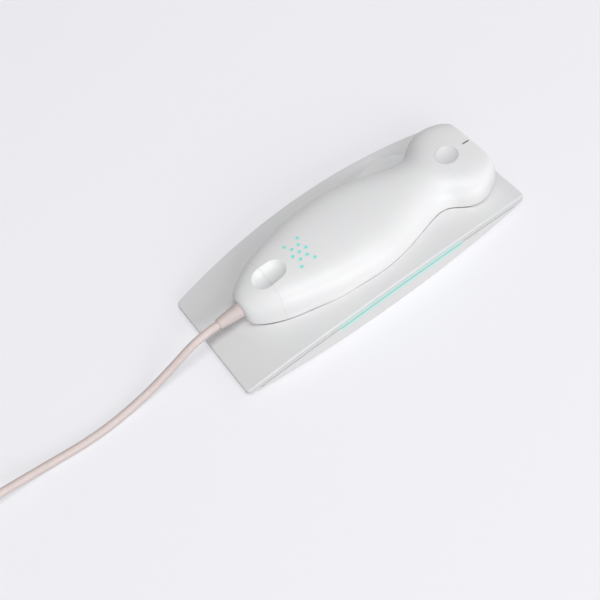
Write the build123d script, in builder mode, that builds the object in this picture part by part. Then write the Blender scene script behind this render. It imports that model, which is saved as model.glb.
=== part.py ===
from build123d import *
from math import cos, pi, radians, sin, sqrt, tan
import os

os.makedirs("parts", exist_ok=True)

# Handheld ultrasound probe lying in its lit cradle, with its captive cable.
# The origin is the centre of the cradle's footprint on the table. +X runs to
# the probe's head, +Y to the far side and +Z up. All sizes are millimetres.

# Cradle: a long low block, bowed in plan and arched on top
half_length = 100.0
end_half_width = 38.0
mid_half_width = 43.6
end_top = 5.5
mid_top = 18.3
end_underside = 2.6
mid_underside = 0.4
corner_radius = 2.5
rim_radius = 0.8
cover_skirt = 4.4
cover_wall = 2.2
base_half_length = 91.9
base_wall = 3.3
base_floor = 1.6
lip_height = 1.4
lip_gap = 0.1
groove_height = 0.35
groove_depth = 0.6
reach = 110.0

# Light strip in the near side, just under the cover's skirt
strip_start = -38.0
strip_end = 49.0
strip_height = 1.3

# Finger scoop at the far side of the probe's neck
scoop_centre = (43.5, -0.9)
scoop_radius = 40.0
scoop_floor_radius = 37.4
scoop_wall_foot = 12.4
scoop_floor = 9.2

# Nest for the probe
nest_gap = 0.35
nest_gap_below = 0.9
nest_wall = 1.8
nest_rise = 8.0

# Probe body: sections along X with half width, underside height, crown height and
# how square the upper half is
equator = 16.6
body_sections = [
    (-75.5, 7.6, 13.4, 25.2, 0.61),
    (-74.0, 10.4, 11.4, 27.6, 0.63),
    (-70.0, 13.8, 9.3, 29.7, 0.67),
    (-62.0, 18.4, 7.8, 31.9, 0.74),
    (-50.0, 23.1, 7.2, 33.2, 0.79),
    (-34.0, 27.9, 7.0, 33.6, 0.79),
    (-16.0, 31.0, 7.0, 33.6, 0.78),
    (2.0, 32.1, 7.0, 33.2, 0.77),
    (18.0, 30.1, 7.0, 32.4, 0.74),
    (31.0, 26.5, 7.2, 31.6, 0.70),
    (42.0, 22.9, 7.6, 31.1, 0.65),
    (50.0, 20.9, 8.0, 30.6, 0.60),
    (57.0, 21.5, 8.2, 30.2, 0.57),
    (66.0, 27.7, 8.2, 30.0, 0.64),
    (74.0, 30.5, 8.2, 30.1, 0.77),
    (82.0, 28.8, 8.4, 30.2, 0.87),
    (88.0, 25.6, 8.9, 29.9, 0.92),
    (91.8, 21.8, 9.8, 29.5, 0.94),
]
keel_fullness = 0.62
nose_keel_fullness = 0.68
shell_wall = 2.0
cap_seam = -54.8
spigot_length = 2.0
seam_bow = 70.0
seam_gap = 0.08
seal_inset = 0.7
seal_width = 0.8
seal_height = 1.2

# Thumb dish across the tail joint: a long round-ended hollow that follows the crown
dish_x = -53.6
dish_depth = 2.5
dish_round = 12.0
dish_straight = 8.3
dish_lean = 5.5
dish_crown = 32.9
backing_start = -66.5
backing_end = -42.8
backing_foot = 28.4

# Push button on the head
button_x = 74.0
button_radius = 6.8
button_gap = 0.1
button_travel = 0.8
button_dish_depth = 1.4
button_crown = 30.1
button_foot = 24.9
button_board_z = 19.6
collar_foot = 26.4

# Light dots: a ring of six round one, and four more beyond it
dots_x = -31.7
dot_radius = 1.1
dot_step = 4.55
dot_row = 4.3
light_plate_z = 28.8
light_plate_radius = 10.4
light_board_z = 26.6
light_post_y = 13.2

# Orientation mark
mark_start = 85.9
mark_end = 90.7
mark_width = 0.9
mark_depth = 0.5

# Window and acoustic stack in the nose
bezel_back = 89.4
bezel_front = 91.6
window_width = 32.0
window_height = 10.0
window_z = 19.2
window_corner = 4.2
lens_front = 93.2
lens_curve = 24.0
array_width = 29.0
array_height = 8.0
element_count = 24
carrier_back = 83.6

# Boards and fasteners
board_z = 14.0
board_thick = 1.6
board_start = -48.0
board_end = 44.0
board_half_width = 17.0
flex_x = 39.5
shell_screw_seat = 11.5
plug_radius = 2.3
clamp_x = -50.6
clamp_length = 3.6
clamp_half_width = 8.2
clamp_screw_y = 5.6
shell_screws_at = [(-42.0, 13.0), (-42.0, -13.0), (38.0, 13.0), (38.0, -13.0)]
cradle_screws_at = [(-84.0, 26.0), (-84.0, -26.0), (-46.0, 35.8), (-46.0, -35.8), (80.0, 33.1), (80.0, -33.1)]
feet_at = [(-66.0, 26.0), (-66.0, -26.0), (66.0, 26.0), (66.0, -26.0)]

screw_radius = 1.05
screw_head_radius = 1.9
head_ledge = 1.9
boss_radius = 2.6
pilot_radius = 1.1
foot_radius = 4.5
foot_height = 2.0

# What the cradle holds
ballast_z = 2.45
ballast_pegs_at = [(-28.0, 14.0), (-28.0, -14.0), (28.0, 14.0), (28.0, -14.0)]
control_y = 30.8
control_z = 3.6
control_posts_at = [-74.0, -52.0]
strip_board_y = -37.2
strip_posts_at = [-34.0, 45.0]
strip_emitter_count = 12
inlet_x = -60.0
inlet_z = 6.0
inlet_back = 32.4
inlet_width = 8.94
inlet_height = 3.2

# Cable
cable_diameter = 4.8
cable_axis = 19.6
relief_tip_x = -90.6
relief_root_radius = 4.6
relief_tip_radius = 3.2
relief_flange = 0.6
cap_end = -75.5
cap_inner = -73.5
floor_cable = 0.5 * cable_diameter + 0.05
coil_centre = (-277.0, 38.4)
coil_radius = 40.0
coil_pitch = 5.3
coil_low = 3.4
coil_high = coil_low + coil_pitch
coil_lead = 5.5
plug_lead = 26.0
strap_inner = 23.1
strap_outer = 40.1
strap_z = 6.05
strap_height = 10.4


def arch(x, middle, end):
    """Height at x of the circular arch that has these heights at the middle and ends."""
    sag = middle - end
    radius = (half_length**2 + sag**2) / (2 * sag)
    return middle - radius + sqrt(radius**2 - x**2)


def top_at(x):
    return arch(x, mid_top, end_top)


def underside_at(x):
    return mid_underside + end_underside - arch(x, end_underside, mid_underside)


def boss_top(x):
    """Where a cradle boss meets the cover's post."""
    return underside_at(x) + 3.9


def pilot_depth(x):
    """Depth of the screw hole up into the cover's post."""
    return min(4.5, top_at(x) - boss_top(x) - 1.2)


def cradle_plan(inset, plan_half_length=half_length, corner=corner_radius):
    """Bowed rectangle seen from above, drawn inwards by the inset."""
    end = arch(plan_half_length, mid_half_width, end_half_width) - inset
    middle = mid_half_width - inset
    with BuildSketch() as plan:
        with BuildLine():
            ThreePointArc((-plan_half_length, -end), (0, -middle), (plan_half_length, -end))
            Line((plan_half_length, -end), (plan_half_length, end))
            ThreePointArc((plan_half_length, end), (0, middle), (-plan_half_length, end))
            Line((-plan_half_length, end), (-plan_half_length, -end))
        make_face()
        fillet(plan.vertices(), corner)
    return plan.sketch


def below_cover(drop):
    """Side view of everything under the cover's arched top lowered by the drop."""
    with BuildSketch(Plane.XZ) as region:
        with BuildLine():
            ThreePointArc((-reach, top_at(reach) - drop), (0, mid_top - drop), (reach, top_at(reach) - drop))
            Polyline((reach, top_at(reach) - drop), (reach, -40), (-reach, -40), (-reach, top_at(reach) - drop))
        make_face()
    return region.sketch


def below_base(lift):
    """Side view of everything under the base's hollow underside raised by the lift."""
    with BuildSketch(Plane.XZ) as region:
        with BuildLine():
            ends = underside_at(reach) + lift
            ThreePointArc((-reach, ends), (0, mid_underside + lift), (reach, ends))
            Polyline((reach, ends), (reach, -40), (-reach, -40), (-reach, ends))
        make_face()
    return region.sketch


def keel_fullness_at(x):
    """How square the lower half of a section is: softer at the tail, squarer at the head."""
    blend = min(max((x - 20) / 50, 0), 1)
    return keel_fullness + (nose_keel_fullness - keel_fullness) * blend


def body_section(station, inset):
    """Closed probe section, drawn inwards by the inset."""
    x, half_width, keel, crown, k = station
    w = half_width - inset
    up = crown - inset - equator
    down = equator - keel - inset
    low_k = keel_fullness_at(x)
    with BuildSketch(Plane.YZ.offset(x)) as section:
        with BuildLine():
            Bezier((w, equator), (w, equator + k * up), (k * w, equator + up), (0, equator + up))
            Bezier((0, equator + up), (-k * w, equator + up), (-w, equator + k * up), (-w, equator))
            Bezier((-w, equator), (-w, equator - low_k * down), (-low_k * w, equator - down), (0, equator - down))
            Bezier((0, equator - down), (low_k * w, equator - down), (w, equator - low_k * down), (w, equator))
        make_face()
    return section.sketch


def station_at(x):
    """Body section row at any x, between two given rows."""
    for before, after in zip(body_sections, body_sections[1:]):
        if x <= after[0]:
            share = (x - before[0]) / (after[0] - before[0])
            return tuple(a + share * (b - a) for a, b in zip(before, after))


def body_loft(inset):
    """The probe's outer form, or a hollow inside it."""
    stations = list(body_sections)
    if inset > 0:
        start_x, second, last = stations[0][0], stations[1], stations[-1]
        tail_end = (start_x + inset, second[1] - 0.6, second[2] + 0.4, second[3] - 0.4, second[4])
        stations = [tail_end] + stations[2:-1] + [(last[0] + 1, *last[1:])]
    return [body_section(station, inset) for station in stations]


def nest_section(station, side_gap, gap_below):
    """Open-topped section of the nest, as wide as the probe plus its gap."""
    x, half_width, keel = station[:3]
    w = half_width + side_gap
    down = equator - keel + gap_below
    k = keel_fullness_at(x)
    lip = equator + nest_rise
    with BuildSketch(Plane.YZ.offset(x)) as section:
        with BuildLine():
            Bezier((-w, equator), (-w, equator - k * down), (-k * w, equator - down), (0, equator - down))
            Bezier((0, equator - down), (k * w, equator - down), (w, equator - k * down), (w, equator))
            Polyline((w, equator), (w, lip), (-w, lip), (-w, equator))
        make_face()
    return section.sketch


def nest_loft(extra):
    """Sections of the nest's hollow, or of its outside with the wall added."""
    stations = list(body_sections)
    first, last = stations[0], stations[-1]
    stations[0] = (first[0] - nest_gap - extra, *first[1:])
    stations[-1] = (last[0] + nest_gap + extra, *last[1:])
    return [nest_section(station, nest_gap + extra, nest_gap_below + extra) for station in stations]


def seal_band(clearance):
    """Two strips along the shells' joint, inside the thickness of the wall."""
    rows = [row for row in body_sections if -55 < row[0] < 90]
    with BuildSketch(Plane.XY.offset(equator - 0.5 * seal_height - clearance)) as band:
        with BuildLine():
            outer = Spline(*[(row[0], row[1] - seal_inset) for row in rows])
            inner = Spline(*[(row[0], row[1] - seal_inset - seal_width) for row in rows])
            Line(outer @ 0, inner @ 0)
            Line(outer @ 1, inner @ 1)
        make_face()
        mirror(about=Plane.XZ)
    return band.sketch


def dot_places():
    """Centres of the light dots, in staggered rows across the probe."""
    places = [(dots_x, 0), (dots_x - dot_step, 0), (dots_x + dot_step, 0)]
    for side in (-1, 1):
        for end in (-1, 1):
            places.append((dots_x + end * 0.5 * dot_step, side * dot_row))
            places.append((dots_x + end * dot_step, side * 2 * dot_row))
    return places


def scoop_profile(extra):
    """Half section of the scoop bowl about its own upright axis."""
    upright = Plane(origin=(*scoop_centre, 0), x_dir=(1, 0, 0), z_dir=(0, -1, 0))
    slope = (scoop_radius - scoop_floor_radius) / (top_at(scoop_centre[0]) - scoop_wall_foot)
    rim = scoop_floor_radius + slope * (mid_top + 4 - scoop_wall_foot)
    with BuildSketch(upright) as profile:
        with BuildLine():
            Polyline(
                (0, mid_top + 4),
                (rim + extra, mid_top + 4),
                (scoop_floor_radius + extra, scoop_wall_foot - extra),
                (0.55 * scoop_floor_radius, scoop_floor - extra),
                (0, scoop_floor - extra),
                (0, mid_top + 4),
            )
        make_face()
        foot = profile.vertices().sort_by(Axis.X)[-2:].sort_by(Axis.Z)[0]
        fillet(foot, 2.0)
    return profile.sketch


scoop_axis = Axis((*scoop_centre, 0), (0, 0, 1))

standing = (Align.CENTER, Align.CENTER, Align.MIN)
hanging = (Align.CENTER, Align.CENTER, Align.MAX)

behind = (Align.MAX, Align.CENTER, Align.CENTER)

# Shared forms, used by several pieces
with BuildPart() as outer_form:
    loft(sections=body_loft(0))

with BuildPart() as inner_form:
    loft(sections=body_loft(shell_wall))

with BuildPart() as mark_slot:
    with BuildSketch(Plane.XY.offset(equator)):
        with Locations((0.5 * (mark_start + mark_end), 0)):
            SlotOverall(mark_end - mark_start, mark_width)
    extrude(amount=20)
    add(outer_form.part, mode=Mode.INTERSECT)
    add(outer_form.part.moved(Location((0, 0, -mark_depth))), mode=Mode.SUBTRACT)

with BuildPart() as nest_hollow:
    loft(sections=nest_loft(0))
    revolve(scoop_profile(0), axis=scoop_axis, revolution_arc=180)

with BuildPart() as nest_outside:
    loft(sections=nest_loft(nest_wall))
    revolve(scoop_profile(nest_wall), axis=scoop_axis, revolution_arc=180)
    extrude(below_cover(0), amount=60, both=True, mode=Mode.INTERSECT)

# Cradle cover: arched skin, nest tray and finger scoop in one moulding
with BuildPart() as cover_hollow:
    extrude(cradle_plan(cover_wall, base_half_length + 0.1), amount=mid_top)
    extrude(below_cover(cover_wall), amount=60, both=True, mode=Mode.INTERSECT)

with BuildPart() as base_space:
    extrude(cradle_plan(-5, base_half_length + 0.1, 0.1), amount=mid_top)
    extrude(below_cover(cover_skirt), amount=60, both=True, mode=Mode.INTERSECT)

with BuildPart() as cradle_cover:
    extrude(cradle_plan(0), amount=mid_top + 1)
    extrude(below_cover(0), amount=60, both=True, mode=Mode.INTERSECT)
    fillet(cradle_cover.faces().sort_by(Axis.Z)[-1].edges(), rim_radius)
    extrude(below_base(0), amount=60, both=True, mode=Mode.SUBTRACT)
    add(cover_hollow.part, mode=Mode.SUBTRACT)
    add(base_space.part, mode=Mode.SUBTRACT)
    add(nest_outside.part)
    for x, y in cradle_screws_at:
        with Locations((x, y, boss_top(x))):
            Cylinder(boss_radius, top_at(x) - 1 - boss_top(x), align=standing)
            Cylinder(pilot_radius, pilot_depth(x), align=standing, mode=Mode.SUBTRACT)
    add(nest_hollow.part, mode=Mode.SUBTRACT)
cradle_cover.part.label = "cradle_cover"
export_step(cradle_cover.part, "parts/cradle_cover.step")

# Light strip: a clear bar in a slot along the top edge of the base's near wall
with BuildPart() as light_strip:
    with BuildSketch():
        add(cradle_plan(0))
        add(cradle_plan(base_wall), mode=Mode.SUBTRACT)
        with Locations((0.5 * (strip_start + strip_end), -mid_half_width)):
            Rectangle(strip_end - strip_start, mid_half_width, mode=Mode.INTERSECT)
    extrude(amount=mid_top)
    extrude(below_cover(cover_skirt), amount=60, both=True, mode=Mode.INTERSECT)
    extrude(below_cover(cover_skirt + strip_height), amount=60, both=True, mode=Mode.SUBTRACT)
light_strip.part.label = "light_strip"
export_step(light_strip.part, "parts/light_strip.step")

# Base: shallow tray with a locating lip, screw bosses and seats for what it holds
with BuildPart() as base_hollow:
    extrude(cradle_plan(base_wall, base_half_length - base_wall), amount=mid_top)
    extrude(below_base(base_floor), amount=60, both=True, mode=Mode.SUBTRACT)

with BuildPart() as base_lip:
    with BuildSketch():
        add(cradle_plan(cover_wall + lip_gap, base_half_length - base_wall))
        add(cradle_plan(base_wall, base_half_length - base_wall - 1), mode=Mode.SUBTRACT)
    extrude(amount=mid_top)
    extrude(below_cover(cover_skirt - lip_height), amount=60, both=True, mode=Mode.INTERSECT)
    extrude(below_cover(cover_skirt + 1), amount=60, both=True, mode=Mode.SUBTRACT)
    with Locations((0.5 * (strip_start + strip_end), -mid_half_width, 0)):
        Box(strip_end - strip_start + 2, 14, 60, mode=Mode.SUBTRACT)

with BuildPart() as parting_groove:
    with BuildSketch():
        add(cradle_plan(-2))
        add(cradle_plan(groove_depth), mode=Mode.SUBTRACT)
    extrude(amount=mid_top)
    extrude(below_cover(cover_skirt - 1), amount=60, both=True, mode=Mode.INTERSECT)
    extrude(below_cover(cover_skirt + groove_height), amount=60, both=True, mode=Mode.SUBTRACT)

with BuildPart() as cradle_base:
    extrude(cradle_plan(0, base_half_length, 1.0), amount=mid_top)
    extrude(below_cover(cover_skirt), amount=60, both=True, mode=Mode.INTERSECT)
    extrude(below_base(0), amount=60, both=True, mode=Mode.SUBTRACT)
    add(parting_groove.part, mode=Mode.SUBTRACT)
    add(base_hollow.part, mode=Mode.SUBTRACT)
    add(base_lip.part)
    add(light_strip.part, mode=Mode.SUBTRACT)
    for x, y in cradle_screws_at:
        with Locations((x, y, underside_at(x) + 0.5)):
            Cylinder(boss_radius, boss_top(x) - underside_at(x) - 0.5, align=standing)
        with Locations((x, y, 0)):
            Cylinder(screw_head_radius + 0.2, underside_at(x) + head_ledge, align=standing, mode=Mode.SUBTRACT)
            Cylinder(screw_radius + 0.2, boss_top(x) + 1, align=standing, mode=Mode.SUBTRACT)
    for x, y in feet_at:
        with Locations((x, y, 0)):
            Cylinder(foot_radius + 0.1, foot_height, align=standing, mode=Mode.SUBTRACT)
    for x, y in ballast_pegs_at:
        with Locations((x, y, 1)):
            Cylinder(2.4, ballast_z - 1, align=standing)
            Cylinder(1.4, ballast_z + 1.2 - 1, align=standing)
    for x in control_posts_at:
        with Locations((x, control_y, 2)):
            Cylinder(2.0, control_z - 2, align=standing)
    for x in strip_posts_at:
        with Locations((x, strip_board_y + 1.6, 1)):
            Box(3, 2.2, 8.5, align=standing)
    with Locations((inlet_x, mid_half_width, inlet_z)):
        Box(inlet_width + 0.5, 16, inlet_height + 0.4, mode=Mode.SUBTRACT)
    add(nest_outside.part, mode=Mode.SUBTRACT)
cradle_base.part.label = "cradle_base"
export_step(cradle_base.part, "parts/cradle_base.step")

# Nest pads: thin soft pads that follow the nest's floor under the probe
with BuildPart() as nest_pads:
    with BuildSketch():
        with Locations((-44, 0), (4, 0), (74, 0)):
            RectangleRounded(18, 12, 3)
    extrude(amount=14)
    add(nest_hollow.part, mode=Mode.INTERSECT)
    loft(sections=nest_loft(-0.6), mode=Mode.SUBTRACT)
nest_pads.part.label = "nest_pads"
export_step(nest_pads.part, "parts/nest_pads.step")

# Rubber feet
with BuildPart() as cradle_feet:
    for x, y in feet_at:
        with Locations((x, y, 0)):
            Cylinder(foot_radius, foot_height, align=standing)
    chamfer(cradle_feet.edges().group_by(Axis.Z)[0], 0.3)
cradle_feet.part.label = "cradle_feet"
export_step(cradle_feet.part, "parts/cradle_feet.step")

# Cradle screws, driven up from below
with BuildPart() as cradle_screws:
    for x, y in cradle_screws_at:
        seat = underside_at(x) + head_ledge
        with Locations((x, y, seat)):
            Cylinder(screw_head_radius, 1.3, align=hanging)
            Cylinder(screw_radius, boss_top(x) - seat + pilot_depth(x) - 0.2, align=standing)
        with Locations((x, y, seat - 1.3)):
            Cylinder(0.7, 0.8, align=standing, mode=Mode.SUBTRACT)
cradle_screws.part.label = "cradle_screws"
export_step(cradle_screws.part, "parts/cradle_screws.step")

# Ballast plate under the nest
with BuildPart() as ballast_plate:
    with BuildSketch(Plane.XY.offset(ballast_z)):
        RectangleRounded(72, 44, 4)
        with Locations(*ballast_pegs_at):
            Circle(1.5, mode=Mode.SUBTRACT)
    extrude(amount=1.5)
ballast_plate.part.label = "ballast_plate"
export_step(ballast_plate.part, "parts/ballast_plate.step")

# Strip board with its emitters, following the light strip
with BuildPart() as strip_board:
    with Locations((0.5 * (strip_start + strip_end), strip_board_y, 0)):
        Box(strip_end - strip_start - 4, 0.8, mid_top, align=standing)
    extrude(below_cover(cover_skirt - 0.4), amount=60, both=True, mode=Mode.INTERSECT)
    extrude(below_cover(cover_skirt + 3.6), amount=60, both=True, mode=Mode.SUBTRACT)
strip_board.part.label = "strip_board"
export_step(strip_board.part, "parts/strip_board.step")

with BuildPart() as strip_emitters:
    spacing = (strip_end - strip_start - 10) / (strip_emitter_count - 1)
    for number in range(strip_emitter_count):
        x = strip_start + 5 + number * spacing
        with Locations((x, strip_board_y - 0.4, top_at(x) - cover_skirt - 0.5 * strip_height)):
            Box(1.6, 0.7, 0.9, align=(Align.CENTER, Align.MAX, Align.CENTER))
strip_emitters.part.label = "strip_emitters"
export_step(strip_emitters.part, "parts/strip_emitters.step")

# Control board and its parts at the far side of the tail
with BuildPart() as control_board:
    with BuildSketch(Plane.XY.offset(control_z)):
        with Locations((inlet_x - 3, control_y)):
            RectangleRounded(26, 10, 1)
    extrude(amount=0.8)
control_board.part.label = "control_board"
export_step(control_board.part, "parts/control_board.step")

with BuildPart() as control_chips:
    with BuildSketch(Plane.XY.offset(control_z + 0.8)):
        with Locations((inlet_x - 11, control_y - 1)):
            Rectangle(5, 5)
        with Locations((inlet_x + 7.2, control_y)):
            Rectangle(3, 2.4)
    extrude(amount=1.0)
control_chips.part.label = "control_chips"
export_step(control_chips.part, "parts/control_chips.step")

# Power inlet: small rounded socket facing the far side
with BuildPart() as inlet_shell:
    with BuildSketch(Plane.XZ.offset(-inlet_back)):
        with Locations((inlet_x, inlet_z)):
            RectangleRounded(inlet_width, inlet_height, 1.5)
    extrude(amount=-7.4)
    with BuildSketch(Plane.XZ.offset(-inlet_back - 0.6)):
        with Locations((inlet_x, inlet_z)):
            RectangleRounded(inlet_width - 0.6, inlet_height - 0.6, 1.2)
    extrude(amount=-8, mode=Mode.SUBTRACT)
inlet_shell.part.label = "inlet_shell"
export_step(inlet_shell.part, "parts/inlet_shell.step")

with BuildPart() as inlet_tongue:
    with Locations((inlet_x, inlet_back + 0.6, inlet_z)):
        Box(6.7, 5.2, 0.7, align=(Align.CENTER, Align.MIN, Align.CENTER))
        Box(7.6, 1.4, 1.8, align=(Align.CENTER, Align.MIN, Align.CENTER))
inlet_tongue.part.label = "inlet_tongue"
export_step(inlet_tongue.part, "parts/inlet_tongue.step")

# Thick roof round the thumb dish, shared by the upper shell and the tail cap
with BuildPart() as dish_backing:
    with Locations((0.5 * (backing_start + backing_end), 0, backing_foot)):
        Box(backing_end - backing_start, 20, 8, align=standing)
    add(outer_form.part, mode=Mode.INTERSECT)

with BuildPart() as thumb_form:
    with Locations(Location((dish_x, 0, dish_crown - dish_depth + dish_round), (0, -dish_lean, 0))):
        Cylinder(dish_round, dish_straight, rotation=(0, 90, 0))
        with Locations((0.5 * dish_straight, 0, 0), (-0.5 * dish_straight, 0, 0)):
            Sphere(dish_round)

# What lies behind the bowed tail joint
with BuildPart() as tail_zone:
    with Locations((cap_seam - seam_bow, 0, 0)):
        Cylinder(seam_bow, 60, align=standing)

# Posts and blocks that stand inside the shells, trimmed to the probe's form
with BuildPart() as upper_posts:
    for x, y in shell_screws_at:
        with Locations((x, y, equator)):
            Cylinder(2.8, 20, align=standing)
    for y in (-light_post_y, light_post_y):
        with Locations((dots_x, y, light_board_z + 1)):
            Cylinder(2.0, 6, align=standing)
    with Locations((button_x, 0, collar_foot)):
        Cylinder(button_radius + 2, 6, align=standing)
    add(outer_form.part, mode=Mode.INTERSECT)

with BuildPart() as lower_posts:
    for x, y in shell_screws_at:
        with Locations((x, y, 0)):
            Cylinder(3.5, board_z, align=standing)
    with Locations((clamp_x, 0, 0)):
        Box(clamp_length, 2 * clamp_half_width, equator, align=standing)
    add(outer_form.part, mode=Mode.INTERSECT)

# Upper shell: crown half with the thumb dish, button collar, light holes and screw posts
with BuildPart() as upper_shell:
    add(outer_form.part)
    add(inner_form.part, mode=Mode.SUBTRACT)
    add(dish_backing.part)
    add(upper_posts.part)
    add(tail_zone.part, mode=Mode.SUBTRACT)
    with Locations((0, 0, equator)):
        Box(300, 100, 20, align=hanging, mode=Mode.SUBTRACT)
    extrude(seal_band(0), amount=seal_height, mode=Mode.SUBTRACT)
    for x, y in shell_screws_at:
        with Locations((x, y, board_z + board_thick + 0.1)):
            Cylinder(2.8, equator - board_z - board_thick + 0.4, align=standing)
            Cylinder(pilot_radius, 7, align=standing, mode=Mode.SUBTRACT)
    with Locations((button_x, 0, collar_foot - 1)):
        Cylinder(button_radius + button_gap, 8, align=standing, mode=Mode.SUBTRACT)
    add(thumb_form.part, mode=Mode.SUBTRACT)
    with BuildSketch(Plane.XY.offset(light_plate_z + 0.5)):
        with Locations(*dot_places()):
            Circle(dot_radius)
    extrude(amount=6, mode=Mode.SUBTRACT)
    add(mark_slot.part, mode=Mode.SUBTRACT)
upper_shell.part.label = "probe_upper_shell"
export_step(upper_shell.part, "parts/probe_upper_shell.step")

# Lower shell: keel half with the posts that carry the board and the cable's saddle
with BuildPart() as lower_shell:
    add(outer_form.part)
    add(inner_form.part, mode=Mode.SUBTRACT)
    add(lower_posts.part)
    with Locations((0, 0, equator)):
        Box(300, 100, 20, align=standing, mode=Mode.SUBTRACT)
    with Locations((clamp_x, 0, equator - 0.1)):
        Box(clamp_length, 2 * clamp_half_width, cable_axis - 0.2 - equator + 0.1, align=standing)
    add(tail_zone.part, mode=Mode.SUBTRACT)
    extrude(seal_band(0), amount=seal_height, mode=Mode.SUBTRACT)
    for x, y in shell_screws_at:
        with Locations((x, y, 0)):
            Cylinder(1.3, board_z + 1, align=standing, mode=Mode.SUBTRACT)
            Cylinder(plug_radius, shell_screw_seat, align=standing, mode=Mode.SUBTRACT)
    with Locations((clamp_x, 0, cable_axis)):
        Cylinder(0.5 * cable_diameter, clamp_length + 2, rotation=(0, 90, 0), mode=Mode.SUBTRACT)
    with Locations((clamp_x, clamp_screw_y, cable_axis - 6), (clamp_x, -clamp_screw_y, cable_axis - 6)):
        Cylinder(0.9, 8, align=standing, mode=Mode.SUBTRACT)
lower_shell.part.label = "probe_lower_shell"
export_step(lower_shell.part, "parts/probe_lower_shell.step")

# Tail cap: rounded end with a spigot into the shells
with BuildPart() as cap_ring:
    loft(sections=[body_section(station_at(x), 1.0) for x in (cap_seam - 7, cap_seam)])
    with Locations((cap_seam - seam_bow, 0, 0)):
        Cylinder(seam_bow - seam_gap, 60, align=standing, mode=Mode.INTERSECT)
    loft(sections=[body_section(station_at(x), 2.35) for x in (cap_seam - 7, cap_seam + spigot_length)])
    loft(sections=[body_section(station_at(x), 3.7) for x in (cap_seam - 8, cap_seam + 4)], mode=Mode.SUBTRACT)
    with Locations((cap_seam - 2, 0, backing_foot - 0.2)):
        Box(20, 21, 12, align=(Align.MIN, Align.CENTER, Align.MIN), mode=Mode.SUBTRACT)

with BuildPart() as tail_cap:
    add(outer_form.part)
    add(inner_form.part, mode=Mode.SUBTRACT)
    add(dish_backing.part)
    with Locations((cap_seam - seam_bow, 0, 0)):
        Cylinder(seam_bow - seam_gap, 60, align=standing, mode=Mode.INTERSECT)
    add(cap_ring.part)
    with Locations((body_sections[0][0], 0, cable_axis)):
        Cylinder(relief_root_radius + 0.05, 8, rotation=(0, 90, 0), mode=Mode.SUBTRACT)
    add(thumb_form.part, mode=Mode.SUBTRACT)
tail_cap.part.label = "probe_tail_cap"
export_step(tail_cap.part, "parts/probe_tail_cap.step")

# Shell gasket
with BuildPart() as shell_gasket:
    extrude(seal_band(0), amount=seal_height)
shell_gasket.part.label = "shell_gasket"
export_step(shell_gasket.part, "parts/shell_gasket.step")

# Orientation mark: dark inlay on the head's front edge
with BuildPart() as orientation_mark:
    add(mark_slot.part)
orientation_mark.part.label = "orientation_mark"
export_step(orientation_mark.part, "parts/orientation_mark.step")

# Shell screws and the plugs that hide them
with BuildPart() as shell_screws:
    for x, y in shell_screws_at:
        with Locations((x, y, shell_screw_seat)):
            Cylinder(screw_head_radius, 1.4, align=hanging)
            Cylinder(screw_radius, 10, align=standing)
        with Locations((x, y, shell_screw_seat - 1.4)):
            Cylinder(0.7, 0.8, align=standing, mode=Mode.SUBTRACT)
shell_screws.part.label = "shell_screws"
export_step(shell_screws.part, "parts/shell_screws.step")

with BuildPart() as screw_plugs:
    for x, y in shell_screws_at:
        with Locations((x, y, 0)):
            Cylinder(plug_radius - 0.03, shell_screw_seat - 1.7, align=standing)
    add(outer_form.part, mode=Mode.INTERSECT)
screw_plugs.part.label = "screw_plugs"
export_step(screw_plugs.part, "parts/screw_plugs.step")

# Light guide: one clear plate whose pins show as the dots
with BuildPart() as light_guide:
    with Locations((dots_x, 0, light_plate_z)):
        Cylinder(light_plate_radius, 1.0, align=standing)
    with BuildSketch(Plane.XY.offset(light_plate_z + 0.5)):
        with Locations(*dot_places()):
            Circle(dot_radius)
    extrude(amount=6)
    add(outer_form.part, mode=Mode.INTERSECT)
light_guide.part.label = "light_guide"
export_step(light_guide.part, "parts/light_guide.step")

with BuildPart() as light_board:
    with BuildSketch(Plane.XY.offset(light_board_z)):
        with Locations((dots_x, 0)):
            Circle(light_plate_radius)
            RectangleRounded(8, 2 * light_post_y + 4, 2)
    extrude(amount=1)
light_board.part.label = "light_board"
export_step(light_board.part, "parts/light_board.step")

with BuildPart() as light_emitters:
    with BuildSketch(Plane.XY.offset(light_board_z + 1)):
        with Locations(*dot_places()):
            Rectangle(1.2, 1.0)
    extrude(amount=0.8)
light_emitters.part.label = "light_emitters"
export_step(light_emitters.part, "parts/light_emitters.step")

# Push button: dished cap with a retaining flange and a stem
hollow_radius = (button_radius**2 + button_dish_depth**2) / (2 * button_dish_depth)
with BuildPart() as button_cap:
    with Locations((button_x, 0, button_foot)):
        Cylinder(button_radius, 8, align=standing)
        Cylinder(button_radius + 0.8, 1.2, align=standing)
    with Locations((button_x, 0, button_foot - 1.1)):
        Cylinder(1.5, 2, align=standing)
    add(outer_form.part, mode=Mode.INTERSECT)
    with Locations((button_x, 0, button_crown + hollow_radius - button_dish_depth)):
        Sphere(hollow_radius, mode=Mode.SUBTRACT)
button_cap.part.label = "button_cap"
export_step(button_cap.part, "parts/button_cap.step")

with BuildPart() as button_frame:
    with Locations((button_x, 0, button_board_z + 1)):
        Cylinder(9.2, collar_foot - button_board_z - 1, align=standing)
        Cylinder(8.1, collar_foot - button_board_z - 1, align=standing, mode=Mode.SUBTRACT)
    with Locations((button_x, 0, 22.4)):
        Cylinder(8.4, 0.8, align=standing)
        Cylinder(6.5, 0.8, align=standing, mode=Mode.SUBTRACT)
button_frame.part.label = "button_frame"
export_step(button_frame.part, "parts/button_frame.step")

with BuildPart() as button_seal:
    with Locations((button_x, 0, 23.2)):
        Cylinder(8.05, 0.6, align=standing)
        Cylinder(1.8, 0.6, align=standing, mode=Mode.SUBTRACT)
button_seal.part.label = "button_seal"
export_step(button_seal.part, "parts/button_seal.step")

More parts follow.
